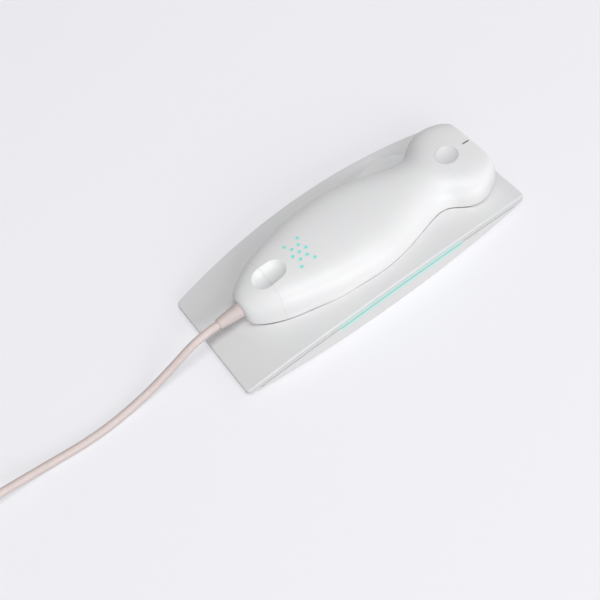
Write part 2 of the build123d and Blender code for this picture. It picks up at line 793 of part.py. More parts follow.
with BuildPart() as button_board:
    with Locations((button_x, 0, button_board_z)):
        Cylinder(9.2, 1.0, align=standing)
button_board.part.label = "button_board"
export_step(button_board.part, "parts/button_board.step")

with BuildPart() as button_switch:
    with Locations((button_x, 0, button_board_z + 1)):
        Box(6, 6, 1.9, align=standing)
        Cylinder(1.5, 2.3, align=standing)
button_switch.part.label = "button_switch"
export_step(button_switch.part, "parts/button_switch.step")

# Nose: bezel plate with the window, the lens through it and the acoustic stack behind
with BuildPart() as nose_bezel:
    loft(sections=[body_section(station_at(x), 2.15) for x in (bezel_back, bezel_front)])
    with BuildSketch(Plane.YZ.offset(bezel_back - 1)):
        with Locations((0, window_z)):
            RectangleRounded(window_width, window_height, window_corner)
    extrude(amount=5, mode=Mode.SUBTRACT)
nose_bezel.part.label = "nose_bezel"
export_step(nose_bezel.part, "parts/nose_bezel.step")

with BuildPart() as acoustic_lens:
    with BuildSketch(Plane.YZ.offset(bezel_back - 1.4)):
        with Locations((0, window_z)):
            RectangleRounded(window_width - 0.1, window_height - 0.1, window_corner)
    extrude(amount=8)
    with Locations((lens_front - lens_curve, 0, window_z)):
        Cylinder(lens_curve, 60, rotation=(90, 0, 0), mode=Mode.INTERSECT)
    with BuildSketch(Plane.YZ.offset(bezel_back - 1.4)):
        with Locations((0, window_z)):
            RectangleRounded(window_width + 2.6, window_height + 1.6, window_corner + 0.7)
    extrude(amount=1.4)
acoustic_lens.part.label = "acoustic_lens"
export_step(acoustic_lens.part, "parts/acoustic_lens.step")

with BuildPart() as matching_layer:
    with Locations((bezel_back - 1.4, 0, window_z)):
        Box(0.5, array_width, array_height, align=behind)
matching_layer.part.label = "matching_layer"
export_step(matching_layer.part, "parts/matching_layer.step")

with BuildPart() as crystal_array:
    with Locations((bezel_back - 1.9, 0, window_z)):
        Box(0.8, array_width, array_height, align=behind)
    pitch = array_width / element_count
    for number in range(1, element_count):
        with Locations((bezel_back - 1.9, (number - 0.5 * element_count) * pitch, window_z)):
            Box(0.55, 0.3, array_height + 1, align=behind, mode=Mode.SUBTRACT)
crystal_array.part.label = "crystal_array"
export_step(crystal_array.part, "parts/crystal_array.step")

with BuildPart() as backing_block:
    with Locations((bezel_back - 2.7, 0, window_z)):
        Box(bezel_back - 2.7 - carrier_back - 0.4, array_width, array_height, align=behind)
backing_block.part.label = "backing_block"
export_step(backing_block.part, "parts/backing_block.step")

with BuildPart() as array_carrier:
    with BuildSketch(Plane.YZ.offset(carrier_back)):
        with Locations((0, window_z)):
            RectangleRounded(array_width + 3.4, array_height + 3, 2.4)
            Rectangle(array_width + 0.1, array_height + 0.1, mode=Mode.SUBTRACT)
    extrude(amount=bezel_back - 1.4 - carrier_back)
array_carrier.part.label = "array_carrier"
export_step(array_carrier.part, "parts/array_carrier.step")

# Flat cable from the array back to the main board
with BuildPart() as array_flex:
    with BuildSketch(Plane.XZ):
        with BuildLine():
            FilletPolyline(
                (carrier_back + 0.4, window_z),
                (66, window_z - 0.2),
                (56, board_z + board_thick + 1.4),
                (flex_x + 3, board_z + board_thick + 1.2),
                radius=4,
            )
        trace(line_width=0.3)
    extrude(amount=9, both=True)
array_flex.part.label = "array_flex"
export_step(array_flex.part, "parts/array_flex.step")

# Main board with its chips, screening can, connectors and heat spreader
with BuildPart() as main_board:
    with BuildSketch(Plane.XY.offset(board_z)):
        with Locations((0.5 * (board_start + board_end), 0)):
            RectangleRounded(board_end - board_start, 2 * board_half_width, 3)
        with Locations(*shell_screws_at):
            Circle(1.3, mode=Mode.SUBTRACT)
    extrude(amount=board_thick)
main_board.part.label = "main_board"
export_step(main_board.part, "parts/main_board.step")

with BuildPart() as board_chips:
    with Locations((-22, -4, board_z + board_thick)):
        Box(13, 13, 1.4, align=standing)
    with Locations((-2, 9, board_z + board_thick), (-2, -9, board_z + board_thick)):
        Box(8, 8, 1.2, align=standing)
    with Locations((-35, 8, board_z + board_thick), (-35, -10, board_z + board_thick)):
        Box(5, 4, 2.2, align=standing)
    with Locations((-18, 12, board_z + board_thick), (-10, 12, board_z + board_thick)):
        Box(4, 2.6, 1.8, align=standing)
board_chips.part.label = "board_chips"
export_step(board_chips.part, "parts/board_chips.step")

with BuildPart() as shield_can:
    with Locations((17, 0, board_z + board_thick)):
        Box(18, 24, 3.2, align=standing)
        Box(17.4, 23.4, 2.9, align=standing, mode=Mode.SUBTRACT)
shield_can.part.label = "shield_can"
export_step(shield_can.part, "parts/shield_can.step")

with BuildPart() as heat_spreader:
    with Locations((-8, 0, board_z - 2.2)):
        Box(52, 18, 1.0, align=standing)
    with Locations((-22, -2, board_z - 1.2), (16, 0, board_z - 1.2)):
        Box(12, 12, 1.2, align=standing)
heat_spreader.part.label = "heat_spreader"
export_step(heat_spreader.part, "parts/heat_spreader.step")

with BuildPart() as flex_connector:
    with Locations((flex_x, 0, board_z + board_thick)):
        Box(5, 19, 2.2, align=standing)
    add(array_flex.part, mode=Mode.SUBTRACT)
flex_connector.part.label = "flex_connector"
export_step(flex_connector.part, "parts/flex_connector.step")

with BuildPart() as lead_connector:
    with Locations((board_start + 4, 0, board_z + board_thick)):
        Box(7, 9, 6.4, align=standing)
lead_connector.part.label = "lead_connector"
export_step(lead_connector.part, "parts/lead_connector.step")

# Cable inside the probe: sheath to the clamp, bare core to the board
with BuildPart() as cable_lead:
    with BuildSketch(Plane.YZ.offset(relief_tip_x)):
        with Locations((0, cable_axis)):
            Circle(0.5 * cable_diameter)
    extrude(amount=clamp_x + 2.8 - relief_tip_x)
    with BuildSketch(Plane.YZ.offset(clamp_x)):
        with Locations((0, cable_axis)):
            Circle(1.6)
    extrude(amount=board_start + 0.5 - clamp_x)
cable_lead.part.label = "cable_lead"
export_step(cable_lead.part, "parts/cable_lead.step")

with BuildPart() as cable_clamp:
    with Locations((clamp_x, 0, cable_axis + 0.2)):
        Box(clamp_length, 2 * clamp_half_width, 4.2, align=standing)
    with Locations((clamp_x, 0, cable_axis)):
        Cylinder(0.5 * cable_diameter, clamp_length + 2, rotation=(0, 90, 0), mode=Mode.SUBTRACT)
    with Locations((clamp_x, clamp_screw_y, cable_axis), (clamp_x, -clamp_screw_y, cable_axis)):
        Cylinder(1.1, 6, align=standing, mode=Mode.SUBTRACT)
    fillet(cable_clamp.edges().filter_by(Axis.X).group_by(Axis.Z)[-1], 1.2)
cable_clamp.part.label = "cable_clamp"
export_step(cable_clamp.part, "parts/cable_clamp.step")

with BuildPart() as clamp_screws:
    with Locations((clamp_x, clamp_screw_y, cable_axis + 4.4), (clamp_x, -clamp_screw_y, cable_axis + 4.4)):
        Cylinder(1.5, 1.1, align=standing)
        Cylinder(0.85, 9.4, align=hanging)
clamp_screws.part.label = "clamp_screws"
export_step(clamp_screws.part, "parts/clamp_screws.step")

# Strain relief: tapered sleeve held by its flange inside the tail cap
with BuildPart() as strain_relief:
    with BuildSketch(Plane.XZ):
        with BuildLine():
            Polyline(
                (relief_tip_x, cable_axis + 0.5 * cable_diameter),
                (relief_tip_x, cable_axis + relief_tip_radius - 0.3),
                (relief_tip_x + 0.3, cable_axis + relief_tip_radius),
                (cap_end, cable_axis + relief_root_radius),
                (cap_inner, cable_axis + relief_root_radius),
                (cap_inner, cable_axis + relief_root_radius + relief_flange),
                (cap_inner + 1.5, cable_axis + relief_root_radius + relief_flange),
                (cap_inner + 1.5, cable_axis + 0.5 * cable_diameter),
                (relief_tip_x, cable_axis + 0.5 * cable_diameter),
            )
        make_face()
    revolve(axis=Axis((0, 0, cable_axis), (1, 0, 0)))
strain_relief.part.label = "strain_relief"
export_step(strain_relief.part, "parts/strain_relief.step")

# Free run of the cable: off the strain relief, down to the table and up on to the coil
run_points = [
    (relief_tip_x, 0.0, cable_axis),
    (-104.6, 0.0, cable_axis),
    (-126.0, -0.3, 9.9),
    (-150.5, -1.3, floor_cable),
    (-180.0, -4.0, floor_cable),
    (-214.0, -0.6, floor_cable),
    (-244.0, -1.6, coil_high),
    (coil_centre[0] + coil_lead, coil_centre[1] - coil_radius, coil_high),
]


def bend_radii(points):
    """Fillet radius at each inner point of a route."""
    radii = []
    for before, here, after in zip(points, points[1:], points[2:]):
        a = Vector(*here) - Vector(*before)
        b = Vector(*after) - Vector(*here)
        radii.append(0.45 * min(a.length, b.length) / tan(0.5 * radians(a.get_angle(b))))
    return radii


with BuildPart() as cable_run:
    with BuildLine() as run_path:
        FilletPolyline(*run_points, radius=bend_radii(run_points))
    with BuildSketch(Plane(origin=run_path.line @ 0, x_dir=(0, 1, 0), z_dir=run_path.line % 0)):
        Circle(0.5 * cable_diameter)
    sweep()
cable_run.part.label = "cable_run"
export_step(cable_run.part, "parts/cable_run.step")
run_length = run_path.wires()[0].length
run_expected = run_length * pi * (0.5 * cable_diameter) ** 2
print("run bend radii", [round(r, 1) for r in bend_radii(run_points)])
print("run length", round(run_length, 1), "volume", round(cable_run.part.volume), "of", round(run_expected))

# Wound cable: two flat spiral layers of half turns, in on the upper and out on the lower
half_pitch = 0.5 * coil_pitch
cx, cy = coil_centre
inner_turn = coil_radius - 3 * coil_pitch
climb_middle = (cx - sqrt(inner_turn**2 + half_pitch**2), cy, 0.5 * (coil_low + coil_high))
with BuildPart() as cable_coil:
    with BuildLine() as coil_path:
        Line((cx + coil_lead, cy - coil_radius, coil_high), (cx, cy - coil_radius, coil_high))
        for turn in range(3):
            out = coil_radius - turn * coil_pitch
            inward = out - half_pitch
            ThreePointArc((cx, cy - out, coil_high), (cx - out, cy, coil_high), (cx, cy + out, coil_high))
            ThreePointArc(
                (cx, cy + out, coil_high),
                (cx + inward, cy + half_pitch, coil_high),
                (cx, cy - out + coil_pitch, coil_high),
            )
        TangentArc((cx, cy - inner_turn, coil_high), climb_middle, tangent=(-1, 0, 0))
        TangentArc(climb_middle, (cx, cy + inner_turn, coil_low), tangent=(0, inner_turn, -half_pitch))
        for turn in range(3):
            near = inner_turn + turn * coil_pitch
            outward = near + half_pitch
            ThreePointArc(
                (cx, cy + near, coil_low),
                (cx + outward, cy - half_pitch, coil_low),
                (cx, cy - near - coil_pitch, coil_low),
            )
            far = near + coil_pitch
            ThreePointArc((cx, cy - far, coil_low), (cx - far, cy, coil_low), (cx, cy + far, coil_low))
        Line((cx, cy + coil_radius, coil_low), (cx + plug_lead, cy + coil_radius, coil_low))
    with BuildSketch(Plane(origin=coil_path.line @ 0, x_dir=(0, 1, 0), z_dir=coil_path.line % 0)):
        Circle(0.5 * cable_diameter)
    sweep()
cable_coil.part.label = "cable_coil"
export_step(cable_coil.part, "parts/cable_coil.step")
coil_length = coil_path.wires()[0].length
coil_expected = coil_length * pi * (0.5 * cable_diameter) ** 2
print("coil length", round(coil_length, 1), "volume", round(cable_coil.part.volume), "of", round(coil_expected))
print("coil bend radius from", inner_turn, "to", coil_radius)
print("cable length", round(run_length + coil_length, 1))


def least_gap(path, steps, skip):
    """Smallest clear distance of the wound cable from its own later turns."""
    places = [path @ (step / steps) for step in range(steps + 1)]
    gap = reach
    for index, here in enumerate(places):
        for there in places[index + skip:]:
            gap = min(gap, (there - here).length - cable_diameter)
    return gap


print("coil least gap", round(least_gap(coil_path.wires()[0], 640, 16), 2))

# Strap round the windings
with BuildPart() as cable_tie:
    with BuildSketch(Plane.XZ.offset(-cy + 4)):
        with Locations((cx + 0.5 * (strap_inner + strap_outer), strap_z)):
            RectangleRounded(strap_outer - strap_inner + 1.6, strap_height + 1.6, 3.2)
            RectangleRounded(strap_outer - strap_inner, strap_height, 2.4, mode=Mode.SUBTRACT)
    extrude(amount=-8)
cable_tie.part.label = "cable_tie"
export_step(cable_tie.part, "parts/cable_tie.step")

# Plug lying on the table beside the coil
plug_start = cx + plug_lead
plug_y = cy + coil_radius
with BuildPart() as plug_overmould:
    with BuildSketch(Plane.YZ.offset(plug_start)):
        with Locations((plug_y, coil_low)):
            Circle(3.1)
    with BuildSketch(Plane.YZ.offset(plug_start + 6)):
        with Locations((plug_y, coil_low)):
            RectangleRounded(12.5, 2 * coil_low, 3.0)
    with BuildSketch(Plane.YZ.offset(plug_start + 24)):
        with Locations((plug_y, coil_low)):
            RectangleRounded(12.5, 2 * coil_low, 3.0)
    loft(ruled=True)
plug_overmould.part.label = "plug_overmould"
export_step(plug_overmould.part, "parts/plug_overmould.step")

with BuildPart() as plug_shell:
    with BuildSketch(Plane.YZ.offset(plug_start + 24)):
        with Locations((plug_y, coil_low)):
            RectangleRounded(8.3, 2.5, 1.2)
    extrude(amount=6.6)
    with BuildSketch(Plane.YZ.offset(plug_start + 24.8)):
        with Locations((plug_y, coil_low)):
            RectangleRounded(7.7, 1.9, 0.9)
    extrude(amount=6, mode=Mode.SUBTRACT)
plug_shell.part.label = "plug_shell"
export_step(plug_shell.part, "parts/plug_shell.step")

with BuildPart() as plug_contacts:
    for side in (-1, 1):
        with Locations((plug_start + 24.8, plug_y, coil_low + side * 0.7)):
            Box(5.2, 6.4, 0.4, align=(Align.MIN, Align.CENTER, Align.CENTER))
plug_contacts.part.label = "plug_contacts"
export_step(plug_contacts.part, "parts/plug_contacts.step")
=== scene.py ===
import math

import bpy
from mathutils import Matrix, Vector


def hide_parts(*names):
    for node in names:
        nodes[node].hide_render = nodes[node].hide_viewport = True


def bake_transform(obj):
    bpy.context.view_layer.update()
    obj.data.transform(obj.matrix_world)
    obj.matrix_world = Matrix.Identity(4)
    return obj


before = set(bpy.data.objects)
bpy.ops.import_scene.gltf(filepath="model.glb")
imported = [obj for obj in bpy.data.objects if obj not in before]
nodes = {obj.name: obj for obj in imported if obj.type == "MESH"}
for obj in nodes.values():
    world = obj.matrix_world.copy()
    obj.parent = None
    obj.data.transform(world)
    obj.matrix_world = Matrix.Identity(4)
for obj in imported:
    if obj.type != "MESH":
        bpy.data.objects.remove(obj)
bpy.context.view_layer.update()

MM = 0.001

# Cradle's near wall: heights are those at the cradle's middle, before the arch falls away
ARCH_FALL = 1.283  # metres of fall for each square metre along the cradle
GROOVE_FOOT = 13.53 * MM
STRIP_HEIGHT = 13.25 * MM
STRIP_MIDDLE = 5.5 * MM


def place_camera():
    """The photograph's view: from above the near side of the tail, rolled a little."""
    data = bpy.data.cameras.new("photo_camera")
    data.sensor_fit = "HORIZONTAL"
    data.sensor_width = 36.0
    data.lens = 58.02
    data.clip_start = 0.01
    data.clip_end = 20.0
    camera = bpy.data.objects.new("photo_camera", data)
    bpy.context.scene.collection.objects.link(camera)
    right = Vector((0.80342, -0.57332, -0.16068))
    forward = Vector((0.19679, 0.51039, -0.83713))
    up = right.cross(forward)
    position = (-0.1523, -0.2919, 0.4699)
    turn = Matrix((right, up, -forward)).transposed().to_4x4()
    camera.matrix_world = Matrix.Translation(position) @ turn
    bpy.context.scene.camera = camera


def cable_points():
    """The route in millimetres: off the strain relief, down to the table and round the coil."""
    points = [
        (-90.6, 0.0, 19.6),
        (-104.6, 0.0, 19.6),
        (-126.0, -0.3, 9.9),
        (-150.5, -1.3, 2.45),
        (-180.0, -4.0, 2.45),
        (-214.0, -0.6, 2.45),
        (-244.0, -1.6, 8.7),
    ]
    centre_x, centre_y = -277.0, 38.4
    outer_radius = 40.0
    half_pitch = 2.65
    low, high = 3.4, 8.7
    points.append((centre_x + 5.5, centre_y - outer_radius, high))
    steps = 8
    spread = 1.0 / math.cos(math.pi / (2 * steps))

    def half_turn(middle, radius, start_angle, z_start, z_end):
        for step in range(steps):
            share = (step + 0.5) / steps
            angle = start_angle - math.pi * share
            x = centre_x + radius * spread * math.cos(angle)
            y = middle + radius * spread * math.sin(angle)
            points.append((x, y, z_start + (z_end - z_start) * share))

    near, far = -math.pi / 2, math.pi / 2
    radius = outer_radius
    for turn in range(3):
        half_turn(centre_y, radius, near, high, high)
        half_turn(centre_y + half_pitch, radius - half_pitch, far, high, high)
        radius -= 2 * half_pitch
    half_turn(centre_y, radius, near, high, low)
    for turn in range(3):
        half_turn(centre_y - half_pitch, radius + half_pitch, far, low, low)
        radius += 2 * half_pitch
        half_turn(centre_y, radius, near, low, low)
    points.append((centre_x + 8.0, centre_y + outer_radius, low))
    points.append((centre_x + 26.0, centre_y + outer_radius, low))
    return points


def cable_curve(name, bevel):
    """The cable's line as one smooth NURBS spline, with or without its thickness."""
    curve = bpy.data.curves.new(name, "CURVE")
    curve.dimensions = "3D"
    curve.bevel_depth = bevel
    curve.bevel_resolution = 8
    curve.resolution_u = 8
    curve.use_fill_caps = True
    spline = curve.splines.new("NURBS")
    route = cable_points()
    spline.points.add(len(route) - 1)
    for point, (x, y, z) in zip(spline.points, route):
        point.co = (x * MM, y * MM, z * MM, 1.0)
    spline.order_u = 3
    spline.use_endpoint_u = True
    holder = bpy.data.objects.new(name, curve)
    bpy.context.scene.collection.objects.link(holder)
    bpy.context.view_layer.update()
    mesh = bpy.data.meshes.new_from_object(holder)
    bpy.data.objects.remove(holder)
    bpy.data.curves.remove(curve)
    return mesh


def lay_cable():
    """The cable as a tube."""
    line = cable_curve("cable_line", 0.0)
    bpy.data.meshes.remove(line)
    cable_radius = 2.4 * MM
    mesh = cable_curve("cable", cable_radius)
    for polygon in mesh.polygons:
        polygon.use_smooth = True
    cable = bpy.data.objects.new("cable", mesh)
    bpy.context.scene.collection.objects.link(cable)
    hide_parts("cable_run", "cable_coil")
    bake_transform(cable)
    return cable


place_camera()
cable = lay_cable()


def linear(code):
    """sRGB hex to the linear colour that a shader takes."""
    channels = [int(code[i:i + 2], 16) / 255 for i in (1, 3, 5)]
    return tuple(c / 12.92 if c <= 0.04045 else ((c + 0.055) / 1.055) ** 2.4 for c in channels) + (1.0,)


def new_material(name):
    """An empty node material with the object's own coordinates, in metres."""
    material = bpy.data.materials.new(name)
    material.use_nodes = True
    tree = material.node_tree
    tree.nodes.clear()
    return material, tree, tree.nodes.new("ShaderNodeTexCoord").outputs["Object"]


def add_node(tree, kind, settings=None, inputs=None):
    """Adds one node, sets its properties, and gives each named or numbered input a value or a link."""
    node = tree.nodes.new(kind)
    for key, value in (settings or {}).items():
        setattr(node, key, value)
    for key, value in (inputs or {}).items():
        socket = node.inputs[key]
        if isinstance(value, bpy.types.NodeSocket):
            tree.links.new(value, socket)
        else:
            socket.default_value = value
    return node


def per(millimetres):
    """Texture scale that gives features of this size."""
    return 1 / (millimetres * MM)


def dress(material, *names):
    """Gives CAD pieces their finish."""
    for name in names:
        mesh = nodes[name].data
        mesh.materials.clear()
        mesh.materials.append(material)


def moulded_abs(name, colour, roughness=0.42, glow=0.0, groove=False):
    """Moulded ABS with a fine spark-eroded skin: an even soft shine with the faintest grain in it.

    With glow, painted light from the turquoise strip, as tint and emission, glows in the wall along its
    length.
    With groove, painted shade greys the parting groove."""
    material, tree, place = new_material(name)
    # real grain is about 0.05 mm; drawn at 0.5 mm so that it shows
    grain = add_node(tree, "ShaderNodeTexNoise", {}, {"Vector": place, "Scale": per(0.5), "Detail": 2.0})
    bump = add_node(
        tree, "ShaderNodeBump", {},
        {"Strength": 0.25, "Distance": 0.02 * MM, "Height": grain.outputs["Fac"]},
    )
    # slow change of gloss, as cooling and handling leave it, over about 20 mm
    cloud = add_node(tree, "ShaderNodeTexNoise", {}, {"Vector": place, "Scale": per(20), "Detail": 3.0})
    gloss = add_node(
        tree, "ShaderNodeMapRange", {},
        {"Value": cloud.outputs["Fac"], "From Min": 0.3, "From Max": 0.7,
         "To Min": roughness - 0.04, "To Max": roughness + 0.04},
    )
    # faint warm and cool drift of the white, one part in a hundred
    tone = add_node(
        tree, "ShaderNodeMapRange", {"data_type": "FLOAT_VECTOR"},
        {"Vector": cloud.outputs["Color"], 7: (0.3, 0.3, 0.3), 8: (0.7, 0.7, 0.7),
         9: [0.99 * c for c in linear(colour)[:3]], 10: [min(1.01 * c, 1) for c in linear(colour)[:3]]},
    )
    shader = add_node(
        tree, "ShaderNodeBsdfPrincipled", {},
        {"Base Color": tone.outputs["Vector"], "Roughness": gloss.outputs["Result"], "IOR": 1.53,
         "Normal": bump.outputs["Normal"]},
    )
    if groove:
        paint_groove_shade(tree, place, shader)
    if glow:
        paint_strip_glow(tree, place, shader, glow)
    add_node(tree, "ShaderNodeOutputMaterial", {}, {"Surface": shader.outputs["BSDF"]})
    return material


def follow_arch(tree, place):
    """The place's axes, and its height with the cradle's arch straightened out."""
    spot = add_node(tree, "ShaderNodeSeparateXYZ", {}, {"Vector": place})
    along = add_node(
        tree, "ShaderNodeMath", {"operation": "MULTIPLY"}, {0: spot.outputs["X"], 1: spot.outputs["X"]}
    )
    height = add_node(
        tree, "ShaderNodeMath", {"operation": "MULTIPLY_ADD"},
        {0: along.outputs[0], 1: ARCH_FALL, 2: spot.outputs["Z"]},
    )
    return spot, height.outputs[0]


def paint_groove_shade(tree, place, shader):
    """Painted shade in the groove under the cover's rim: a thin grey line round the base."""
    _, height = follow_arch(tree, place)
    # the groove is the base's top 0.35 mm, up to 13.9 mm in the middle
    inside = add_node(tree, "ShaderNodeMath", {"operation": "GREATER_THAN"}, {0: height, 1: GROOVE_FOOT})
    white = shader.inputs["Base Color"].links[0].from_socket
    # the grey is painted shade standing for the groove's shadow
    tone = add_node(
        tree, "ShaderNodeMix", {"data_type": "RGBA"}, {0: inside.outputs[0], 6: white, 7: linear("#8c8c8c")}
    )
    tree.links.new(tone.outputs[2], shader.inputs["Base Color"])


def paint_strip_glow(tree, place, shader, strength):
    """Painted turquoise glow in the white wall, as tint and emission, strongest at the strip and gone about
    5 mm from it.
    """
    spot, height = follow_arch(tree, place)
    away = add_node(tree, "ShaderNodeMath", {"operation": "SUBTRACT"}, {0: height, 1: STRIP_HEIGHT})
    away = add_node(tree, "ShaderNodeMath", {"operation": "ABSOLUTE"}, {0: away.outputs[0]})
    fade = add_node(
        tree, "ShaderNodeMapRange", {"interpolation_type": "SMOOTHSTEP"},
        {"Value": away.outputs[0], "From Min": 0.6 * MM, "From Max": 5.2 * MM, "To Min": 1.0,
         "To Max": 0.0},
    )
    middle = add_node(
        tree, "ShaderNodeMath", {"operation": "SUBTRACT"}, {0: spot.outputs["X"], 1: STRIP_MIDDLE}
    )
    middle = add_node(tree, "ShaderNodeMath", {"operation": "ABSOLUTE"}, {0: middle.outputs[0]})
    ends = add_node(
        tree, "ShaderNodeMapRange", {"interpolation_type": "SMOOTHSTEP"},
        {"Value": middle.outputs[0], "From Min": 41 * MM, "From Max": 46 * MM, "To Min": 1.0,
         "To Max": 0.0},
    )
    near = add_node(
        tree, "ShaderNodeMapRange", {},
        {"Value": spot.outputs["Y"], "From Min": -36 * MM, "From Max": -40 * MM, "To Min": 0.0,
         "To Max": strength},
    )
    share = add_node(
        tree, "ShaderNodeMath", {"operation": "MULTIPLY"}, {0: fade.outputs[0], 1: ends.outputs[0]}
    )
    share = add_node(
        tree, "ShaderNodeMath", {"operation": "MULTIPLY"}, {0: share.outputs[0], 1: near.outputs[0]}
    )
    white = shader.inputs["Base Color"].links[0].from_socket
    # painted light from the strip: the wall's colour turns turquoise and the wall itself glows
    painted_glow_tint = add_node(
        tree, "ShaderNodeMix", {"data_type": "RGBA"}, {0: share.outputs[0], 6: white, 7: linear("#d2f0ec")}
    )
    tree.links.new(painted_glow_tint.outputs[2], shader.inputs["Base Color"])
    light = add_node(tree, "ShaderNodeMath", {"operation": "MULTIPLY"}, {0: share.outputs[0], 1: 0.12})
    tree.links.new(light.outputs[0], shader.inputs["Emission Strength"])
    shader.inputs["Emission Color"].default_value = linear("#74e4da")


def extruded_elastomer(name, colour, darker, roughness=0.55, ior=1.48):
    """Elastomer, rubber or foam: matt and a little waxy, with faint mottling from handling."""
    material, tree, place = new_material(name)
    mottle = add_node(tree, "ShaderNodeTexNoise", {}, {"Vector": place, "Scale": per(6), "Detail": 4.0})
    tone = add_node(
        tree, "ShaderNodeMix", {"data_type": "RGBA"},
        {0: mottle.outputs["Fac"], 6: linear(darker), 7: linear(colour)},
    )
    # extruded or moulded skin of about 0.1 mm, drawn at 0.4 mm
    fine = add_node(tree, "ShaderNodeTexNoise", {}, {"Vector": place, "Scale": per(0.4), "Detail": 2.0})
    bump = add_node(
        tree, "ShaderNodeBump", {}, {"Strength": 0.2, "Distance": 0.03 * MM, "Height": fine.outputs["Fac"]}
    )
    shader = add_node(
        tree, "ShaderNodeBsdfPrincipled", {},
        {"Base Color": tone.outputs[2], "Roughness": roughness, "IOR": ior,
         "Normal": bump.outputs["Normal"], "Sheen Weight": 0.15, "Sheen Roughness": 0.5},
    )
    add_node(tree, "ShaderNodeOutputMaterial", {}, {"Surface": shader.outputs["BSDF"]})
    return material


def lit_acrylic(name, colour, light, strength):
    """Frosted acrylic with light behind it: coloured, evenly bright, slightly cloudy."""
    material, tree, place = new_material(name)
    frost = add_node(tree, "ShaderNodeTexNoise", {}, {"Vector": place, "Scale": per(3), "Detail": 3.0})
    level = add_node(
        tree, "ShaderNodeMapRange", {},
        {"Value": frost.outputs["Fac"], "From Min": 0.3, "From Max": 0.7, "To Min": 0.9 * strength,
         "To Max": 1.1 * strength},
    )
    # frosting of about 0.05 mm, drawn at 0.25 mm
    etched = add_node(tree, "ShaderNodeTexNoise", {}, {"Vector": place, "Scale": per(0.25), "Detail": 2.0})
    bump = add_node(
        tree, "ShaderNodeBump", {},
        {"Strength": 0.2, "Distance": 0.01 * MM, "Height": etched.outputs["Fac"]},
    )
    shader = add_node(
        tree, "ShaderNodeBsdfPrincipled", {},
        {"Base Color": linear(colour), "Roughness": 0.4, "IOR": 1.49, "Normal": bump.outputs["Normal"],
         "Emission Color": linear(light), "Emission Strength": level.outputs["Result"]},
    )
    add_node(tree, "ShaderNodeOutputMaterial", {}, {"Surface": shader.outputs["BSDF"]})
    return material


def worked_metal(name, colour, roughness, lay=(1.0, 1.0, 1.0), line=0.3, relief=0.01):
    """Bare or plated metal. The lay stretches the tool's lines along the axes with small values."""
    material, tree, place = new_material(name)
    turned = add_node(
        tree, "ShaderNodeMapping", {}, {"Vector": place, "Scale": tuple(per(line) * share for share in lay)}
    )
    lines = add_node(
        tree, "ShaderNodeTexNoise", {}, {"Vector": turned.outputs["Vector"], "Scale": 1.0, "Detail": 5.0}
    )
    gloss = add_node(
        tree, "ShaderNodeMapRange", {},
        {"Value": lines.outputs["Fac"], "From Min": 0.3, "From Max": 0.7, "To Min": roughness - 0.08,
         "To Max": roughness + 0.08},
    )
    bump = add_node(
        tree, "ShaderNodeBump", {},
        {"Strength": 0.5, "Distance": relief * MM, "Height": lines.outputs["Fac"]},
    )
    shader = add_node(
        tree, "ShaderNodeBsdfPrincipled", {},
        {"Base Color": linear(colour), "Metallic": 1.0, "Roughness": gloss.outputs["Result"],
         "Normal": bump.outputs["Normal"]},
    )
    add_node(tree, "ShaderNodeOutputMaterial", {}, {"Surface": shader.outputs["BSDF"]})
    return material


def filled_resin(name, colour, fleck, size, cover, roughness, ior=1.55):
    """Cast or moulded resin with its filler showing as small flecks of another tone."""
    material, tree, place = new_material(name)
    cells = add_node(
        tree, "ShaderNodeTexVoronoi", {}, {"Vector": place, "Scale": per(size), "Randomness": 1.0}
    )
    flecks = add_node(
        tree, "ShaderNodeMapRange", {},
        {"Value": cells.outputs["Distance"], "From Min": cover, "From Max": cover + 0.15, "To Min": 1.0,
         "To Max": 0.0},
    )
    tone = add_node(
        tree, "ShaderNodeMix", {"data_type": "RGBA"},
        {0: flecks.outputs["Result"], 6: linear(colour), 7: linear(fleck)},
    )
    bump = add_node(
        tree, "ShaderNodeBump", {},
        {"Strength": 0.3, "Distance": 0.02 * MM, "Height": cells.outputs["Distance"]},
    )
    shader = add_node(
        tree, "ShaderNodeBsdfPrincipled", {},
        {"Base Color": tone.outputs[2], "Roughness": roughness, "IOR": ior,
         "Normal": bump.outputs["Normal"]},
    )
    add_node(tree, "ShaderNodeOutputMaterial", {}, {"Surface": shader.outputs["BSDF"]})
    return material


def coated_board(name):
    """Circuit board: glossy green solder mask, lighter where copper tracks run under it."""
    material, tree, place = new_material(name)
    # tracks 0.25 mm wide on a 0.5 mm grid, drawn at 1.2 mm
    tracks = add_node(
        tree, "ShaderNodeTexBrick", {"offset": 0.5, "squash": 1.0},
        {"Vector": place, "Color1": linear("#1f6b44"), "Color2": linear("#18583a"),
         "Mortar": linear("#2f8a5c"), "Scale": per(6), "Mortar Size": 0.06, "Brick Width": 0.9,
         "Row Height": 0.2},
    )
    waves = add_node(tree, "ShaderNodeTexNoise", {}, {"Vector": place, "Scale": per(2), "Detail": 2.0})
    bump = add_node(
        tree, "ShaderNodeBump", {},
        {"Strength": 0.3, "Distance": 0.02 * MM, "Height": tracks.outputs["Fac"]},
    )
    gloss = add_node(
        tree, "ShaderNodeMapRange", {},
        {"Value": waves.outputs["Fac"], "From Min": 0.3, "From Max": 0.7, "To Min": 0.22, "To Max": 0.32},
    )
    shader = add_node(
        tree, "ShaderNodeBsdfPrincipled", {},
        {"Base Color": tracks.outputs["Color"], "Roughness": gloss.outputs["Result"], "IOR": 1.52,
         "Normal": bump.outputs["Normal"]},
    )
    add_node(tree, "ShaderNodeOutputMaterial", {}, {"Surface": shader.outputs["BSDF"]})
    return material


